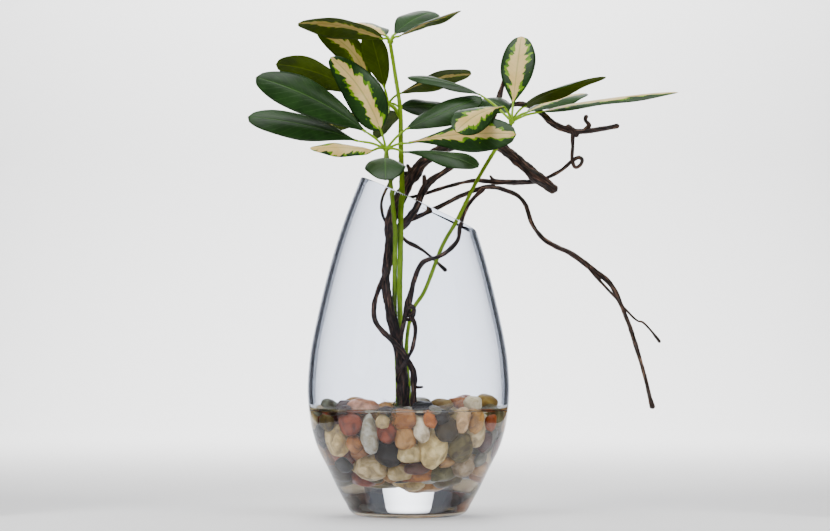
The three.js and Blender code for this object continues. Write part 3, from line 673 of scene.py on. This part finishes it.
for height, count, size in ((42, 7, 9), (52, 13, 10), (64, 18, 10.5), (77, 20, 10.5), (89, 21, 10)):
    for ring in range(4):
        reach = bowl_radius(height) - size - 1 - ring * 21
        here = round(count * reach / bowl_radius(height)) if reach > 8 else 0
        for k in range(here):
            angle = 2 * math.pi * (k + shuffle.random() * 0.4) / here
            spot = Vector((reach * math.cos(angle), reach * math.sin(angle),
                height + shuffle.uniform(-3, 3)))
            if any((spot - other[0]).length < 13 for other in packed):
                continue
            sizes = [size * shuffle.uniform(0.85, 1.25), size * shuffle.uniform(0.7, 1.0),
                size * shuffle.uniform(0.7, 1.15)]
            lean = Matrix.Rotation(shuffle.uniform(0, 3), 3,
                "Z") @ Matrix.Rotation(shuffle.uniform(-0.6, 0.6), 3, "X")
            packed.append([spot, tuple(sizes), lean, shuffle.choice(shades), False])
# Each stone settles clear of its neighbours and stays inside the bowl; the front ones hardly move.
for _ in range(24):
    for i, one in enumerate(packed):
        for other in packed[i + 1:]:
            apart = other[0] - one[0]
            room = 0.8 * (sum(one[1]) + sum(other[1])) / 3
            short = room - apart.length
            if short > 0 and apart.length > 0.01:
                push = apart.normalized() * short * 0.5
                one[0] -= push * (0.1 if one[4] else 1)
                other[0] += push * (0.1 if other[4] else 1)
    for one in packed:
        one[0].z = min(max(one[0].z, 37 + one[1][2] + 1), 97)
        flat = Vector((one[0].x, one[0].y, 0))
        limit = bowl_radius(one[0].z - 2) - min(one[1]) - 0.8
        if flat.length > limit > 0:
            one[0].x *= limit / flat.length
            one[0].y *= limit / flat.length
bed = [(c / 1000, tuple(s / 1000 for s in size), turn, shade) for c, size, turn, shade, _ in packed]
half = len(bed) // 2
tumbled("packed_stones_front", bed[:half], ["stone_bed"])
tumbled("packed_stones_rear", bed[half:], [])

# Loose stones: CAD node, middle, half sizes, lean in degrees, colour, slot.
loose = [
    ("stone_peach", (-39, -52, 100), (14, 11, 6.5), 4, "d9a58a", "stone_cream"),
    ("stone_mauve", (-56, -34, 99), (8, 9, 6), -10, "5a4440", "stone_dark"),
    ("stone_grey_left", (-70, -8, 99), (9, 12, 6), 12, "8f9488", "stone_grey"),
    ("stone_slate", (13, -58, 99), (10, 9, 5.5), 0, "2c2a2a", "stone_dark"),
    ("stone_olive_tan", (29, -40, 100), (10.5, 10, 6.5), -8, "9a8558", "stone_tan"),
    ("stone_orange_tan", (45, -30, 101), (11, 11, 7), 6, "c98c55", "stone_orange"),
    ("stone_pale", (56, -46, 102), (8, 9, 6.5), 0, "e8dcbc", "stone_cream"),
    ("stone_olive_yellow", (69, -14, 101), (10, 12, 8.5), 12, "b39a55", "stone_tan"),
    ("stone_rear_left", (-46, 40, 99), (13, 12, 7), 0, "c9a878", "stone_tan"),
    ("stone_rear", (6, 56, 99), (15, 11, 7), 0, "a09f96", "stone_grey"),
    ("stone_rear_right", (50, 40, 100), (13, 13, 8), 0, "b5713d", "stone_orange"),
]
for node_name, centre, size, lean, shade, slot in loose:
    turn = Matrix.Rotation(math.radians(lean), 3, "Y")
    tumbled("loose_" + node_name, [(Vector(centre) / 1000, tuple(s / 1000 for s in size), turn,
        shade)],
            [node_name])


# ---- moss -----------------------------------------------------------------------------------
# Preserved moss, pinched in at the foot of the branch and between the front stones: fine dark
# green needles that fan out from small clumps.

moss, tree, out = new_material("preserved moss")
place = put(tree, "ShaderNodeTexCoord").outputs["Object"]
fleck = put(tree, "ShaderNodeTexNoise", None, {"Vector": place, "Scale": 400.0, "Detail": 2.0})
green = ramp(tree, fleck.outputs["Fac"], [(0.35, "1e2713"), (0.55, "3a4620"), (0.75, "5c6630")])
shader = put(tree, "ShaderNodeBsdfPrincipled", None, {"Base Color": green, "Roughness": 0.8})
tree.links.new(shader.outputs["BSDF"], out.inputs["Surface"])

# Needles 5.5 to 12 mm long grow on small balls, tilted at random.
needle_sizes = {"Length": 0.011, "Thickness": 0.0005}
needles = bpy.data.node_groups.new("moss needles", "GeometryNodeTree")
needles.interface.new_socket("Geometry", in_out="INPUT", socket_type="NodeSocketGeometry")
for label, size in needle_sizes.items():
    socket = needles.interface.new_socket(label, in_out="INPUT", socket_type="NodeSocketFloat")
    socket.default_value = size
needles.interface.new_socket("Geometry", in_out="OUTPUT", socket_type="NodeSocketGeometry")
given = put(needles, "NodeGroupInput")
seat = put(needles, "GeometryNodeDistributePointsOnFaces", None, {
    "Mesh": given.outputs["Geometry"], "Density": 450000.0, "Seed": 4})
needle = put(needles, "GeometryNodeMeshCone", {"fill_type": "TRIANGLE_FAN"}, {
    "Vertices": 4, "Side Segments": 1, "Radius Top": 0.00005,
    "Radius Bottom": given.outputs["Thickness"],
    "Depth": given.outputs["Length"]})
tilt = put(needles, "FunctionNodeRandomValue", {"data_type": "FLOAT_VECTOR"}, {
    0: (-0.7, -0.7, 0.0), 1: (0.7, 0.7, 6.28), "Seed": 2})
long_or_short = put(needles, "FunctionNodeRandomValue", {"data_type": "FLOAT"}, {
    2: 0.5, 3: 1.1, "Seed": 3})
stand = put(needles, "GeometryNodeInstanceOnPoints", None, {
    "Points": seat.outputs["Points"], "Instance": needle.outputs["Mesh"],
    "Rotation": seat.outputs["Rotation"], "Scale": long_or_short.outputs[1]})
bent = put(needles, "GeometryNodeRotateInstances", None, {
    "Instances": stand.outputs["Instances"], "Rotation": tilt.outputs[0]})
real = put(needles, "GeometryNodeRealizeInstances", None, {"Geometry": bent.outputs["Instances"]})
dressed = put(needles, "GeometryNodeSetMaterial", None, {
    "Geometry": real.outputs["Geometry"], "Material": moss})
put(needles, "NodeGroupOutput", None, {"Geometry": dressed.outputs["Geometry"]})

clump = bpy.data.meshes.new("moss_clump")
clump_corners, clump_faces = [], []
for centre in ((-14, -71, 85), (-9, -72, 91), (-20, -69, 89), (-14, -21, 97)):
    ball_corners, ball_faces, _ = ball(Vector(centre) / 1000, 0.0032, 6, 10)
    clump_faces += [tuple(len(clump_corners) + i for i in face) for face in ball_faces]
    clump_corners += [tuple(c) for c in ball_corners]
clump.from_pydata(clump_corners, [], clump_faces)
seed_ball = bpy.data.objects.new("moss_clump", clump)
bpy.context.scene.collection.objects.link(seed_ball)
modifier = seed_ball.modifiers.new("needles", "NODES")
modifier.node_group = needles
for socket in needles.interface.items_tree:
    if socket.in_out == "INPUT" and socket.name in needle_sizes:
        modifier[socket.identifier] = needle_sizes[socket.name]
bpy.context.view_layer.update()
ready = seed_ball.evaluated_get(bpy.context.evaluated_depsgraph_get())
tuft = bpy.data.objects.new("moss_needles", bpy.data.meshes.new_from_object(ready))
seed_ball.modifiers.remove(modifier)
bpy.data.objects.remove(seed_ball)
bpy.context.scene.collection.objects.link(tuft)
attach(tuft, "root")
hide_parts("moss_tuft")


# ---- vase and resin -------------------------------------------------------------------------
# Mouth-blown clear glass, cold-cut on a slant, with its rim polished and a thick solid base.
# The resin was poured in and bonds to the glass, so the two are one clear body with a flat top.

wall = 4.5
rim_height, rim_slant = 285.3, math.radians(24.9)
water_level = 95
glass_curve = [
    (0, 44), (1.2, 47.5), (3, 50.9), (6, 53.6), (10.5, 55.8), (16, 59), (25, 63.9), (43, 72.5),
    (61, 81.5), (78, 86.8), (97, 90), (114, 91), (133, 90), (151, 87.8), (178, 82.4), (205, 76.1),
    (232, 68.9), (254, 62), (275, 54.6), (297, 46), (318, 37),
]


def outside(height):
    """Outside radius of the glass at a height, in mm, on a smooth curve through its sizes."""
    for k, ((low, near), (high, far)) in enumerate(zip(glass_curve, glass_curve[1:])):
        if height <= high:
            before = glass_curve[max(k - 1, 0)]
            after = glass_curve[min(k + 2, len(glass_curve) - 1)]
            span = high - low
            t = max(0, (height - low) / span)
            m0 = (far - before[1]) / (high - before[0]) * span
            m1 = (after[1] - near) / (after[0] - low) * span
            return ((2 * t ** 3 - 3 * t * t + 1) * near + (t ** 3 - 2 * t * t + t) * m0
                    + (3 * t * t - 2 * t ** 3) * far + (t ** 3 - t * t) * m1)
    return glass_curve[-1][1]


def rim_at(angle, inward):
    """Height of the slanted cut at an angle round the vase, for a wall set in by `inward`."""
    height = rim_height
    for _ in range(30):
        height = rim_height - math.tan(rim_slant) * (outside(height) - inward) * math.cos(angle)
    return height


segments, outer_rows, inner_rows = 144, 84, 60
corners, faces, stretches = [], [], []
for k in range(segments):
    angle = 2 * math.pi * k / segments
    column = [(0, 40)]
    top, inner_top = rim_at(angle, 0), rim_at(angle, wall)
    for j in range(outer_rows + 1):
        height = (top - 1.2) * (j / outer_rows) ** 1.15
        column.append((height, outside(height)))
    column += [(top - 0.35, outside(top) - 0.15),
        (top * 0.85 + inner_top * 0.15, outside(top) - wall * 0.2),
               (top * 0.15 + inner_top * 0.85, outside(inner_top) - wall * 0.8),
               (inner_top - 0.35, outside(inner_top) - wall + 0.15)]
    for j in range(inner_rows + 1):
        height = inner_top - 1.2 + (water_level + 3.0 - inner_top + 1.2) * j / inner_rows
        column.append((height, outside(height) - wall))
    # The resin creeps up the glass in a small meniscus, then lies flat.
    inner_wall = outside(water_level) - wall
    column += [(water_level + 1.2, inner_wall - 0.25), (water_level + 0.35, inner_wall - 1.0),
               (water_level, inner_wall - 2.6)]
    edge = len(column)
    column += [(water_level, (inner_wall - 2.6) * f) for f in (0.8, 0.6, 0.4, 0.2)]
    for height, radius in column:
        corners.append(Vector((radius * math.cos(angle), radius * math.sin(angle), height)) / 1000)
rows = len(column)
for k in range(segments):
    a, b = k * rows, ((k + 1) % segments) * rows
    for j in range(rows - 1):
        faces.append((a + j, b + j, b + j + 1, a + j + 1))
        stretches.append(1 if j >= edge - 4 else 0)
corners += [Vector((0, 0, 0)), Vector((0, 0, water_level / 1000))]
for k in range(segments):
    a, b = k * rows, ((k + 1) % segments) * rows
    faces += [(len(corners) - 2, b, a), (len(corners) - 1, a + rows - 1, b + rows - 1)]
    stretches += [0, 1]

# Soda-lime glass: colourless, polished, IOR 1.5. It lets studio light through to what it holds.
clear_glass, tree, out = new_material("clear soda-lime glass")
shader = put(tree, "ShaderNodeBsdfGlass", None, {
    "Color": linear("f7f9fd"), "Roughness": 0.0, "IOR": 1.5})
through = put(tree, "ShaderNodeBsdfTransparent", None, {"Color": linear("f4f6fa")})
ray = put(tree, "ShaderNodeLightPath")
shaded = put(tree, "ShaderNodeMath", {"operation": "MAXIMUM"}, {
    0: ray.outputs["Is Shadow Ray"], 1: ray.outputs["Is Diffuse Ray"]})
blend = put(tree, "ShaderNodeMixShader", None, {
    "Fac": shaded.outputs[0], 1: shader.outputs["BSDF"], 2: through.outputs["BSDF"]})
tree.links.new(blend.outputs["Shader"], out.inputs["Surface"])

# Cast acrylic resin: clear, self-levelled, IOR 1.49, with the faintest green.
clear_resin, tree, out = new_material("cast acrylic resin")
shader = put(tree, "ShaderNodeBsdfGlass", None, {
    "Color": linear("f6faf6"), "Roughness": 0.0, "IOR": 1.49})
through = put(tree, "ShaderNodeBsdfTransparent", None, {"Color": linear("f4f8f4")})
ray = put(tree, "ShaderNodeLightPath")
shaded = put(tree, "ShaderNodeMath", {"operation": "MAXIMUM"}, {
    0: ray.outputs["Is Shadow Ray"], 1: ray.outputs["Is Diffuse Ray"]})
blend = put(tree, "ShaderNodeMixShader", None, {
    "Fac": shaded.outputs[0], 1: shader.outputs["BSDF"], 2: through.outputs["BSDF"]})
tree.links.new(blend.outputs["Shader"], out.inputs["Surface"])

vase = piece("blown_glass_vase", [(corners, faces, [((0, 0),) * len(face) for face in faces])],
             [clear_glass, clear_resin], ["glass_vase", "clear_resin"])
vase.data.polygons.foreach_set("material_index", stretches)


# ---- studio ---------------------------------------------------------------------------------
# A narrow sweep of pale paper under and behind the vase, lit from above by soft boxes. The room
# to both sides of it is dim, which draws dark edges on the glass.

paper, tree, out = new_material("pale paper sweep")
shader = put(tree, "ShaderNodeBsdfPrincipled", None, {
    "Base Color": linear("f2f2f2"), "Roughness": 1.0, "Specular IOR Level": 0.0})
tree.links.new(shader.outputs["BSDF"], out.inputs["Surface"])
sweep_line = [(-0.5, 0), (2.6, 0)] + [
    (2.6 + 0.5 * math.sin(math.pi / 2 * k / 12),
        0.5 - 0.5 * math.cos(math.pi / 2 * k / 12)) for k in range(1, 13)
] + [(3.1, 3.6)]
mesh = bpy.data.meshes.new("paper_sweep")
mesh.from_pydata([(x, y, z) for y, z in sweep_line for x in (-0.9, 0.9)], [],
                 [(2 * k, 2 * k + 1, 2 * k + 3, 2 * k + 2) for k in range(len(sweep_line) - 1)])
mesh.shade_smooth()
mesh.materials.append(paper)
sweep = bpy.data.objects.new("paper_sweep", mesh)
bpy.context.scene.collection.objects.link(sweep)

# Two dim card wings stand on the sweep, either side of the vase: the glass mirrors them as its
# dark edges.
card, tree, out = new_material("dim grey card")
shader = put(tree, "ShaderNodeBsdfPrincipled", None, {
    "Base Color": linear("2b2b30"), "Roughness": 0.9})
tree.links.new(shader.outputs["BSDF"], out.inputs["Surface"])
for name, side in (("card_wing_left", -1), ("card_wing_right", 1)):
    mesh = bpy.data.meshes.new(name)
    mesh.from_pydata([(side * 0.4, -0.05, 0), (side * 0.81, 3.05, 0), (side * 0.81, 3.05, 1.2),
        (side * 0.4, -0.05, 0.8)],
                     [], [(0, 1, 2, 3)])
    mesh.materials.append(card)
    wing = bpy.data.objects.new(name, mesh)
    bpy.context.scene.collection.objects.link(wing)

world = bpy.data.worlds.new("studio")
world.use_nodes = True
world.node_tree.nodes["Background"].inputs["Color"].default_value = linear("dfe2ea")
world.node_tree.nodes["Background"].inputs["Strength"].default_value = 0.16
bpy.context.scene.world = world

# (name, place, aim, width, height, watts, whether gloss mirrors it)
for name, place, aim, width, height, power, mirrored in (
        ("soft_box_left", (-1.3, -1.5, 1.2), (0, 0, 0.2), 0.9, 1.2, 34, False),
        ("soft_box_right", (1.5, -1.3, 1.1), (0, 0, 0.2), 0.8, 1.2, 24, False),
        ("soft_box_top", (0, -0.1, 1.7), (0, 0, 0.2), 1.2, 0.9, 20, True),
        ("floor_light", (0, 1.4, 1.8), (0, 1.5, 0), 1.0, 1.6, 40, False),
        ("backdrop_light", (0, 1.9, 1.9), (0, 3.1, 0.9), 1.5, 0.5, 120, False)):
    light = bpy.data.lights.new(name, "AREA")
    light.shape = "RECTANGLE"
    light.size, light.size_y, light.energy = width, height, power
    lamp = bpy.data.objects.new(name, light)
    lamp.location = place
    lamp.rotation_euler = (Vector(aim) - Vector(place)).to_track_quat("-Z", "Y").to_euler()
    lamp.visible_glossy = lamp.visible_transmission = mirrored
    bpy.context.scene.collection.objects.link(lamp)

camera = bpy.data.objects.new("camera", bpy.data.cameras.new("camera"))
camera.data.sensor_width = 36
camera.data.lens = 144.6
camera.location = (0, -3.0, 0.1625)
camera.rotation_euler = (Vector((0.0058, 0, 0.2251)) - camera.location).to_track_quat("-Z",
    "Y").to_euler()
bpy.context.scene.collection.objects.link(camera)
bpy.context.scene.camera = camera
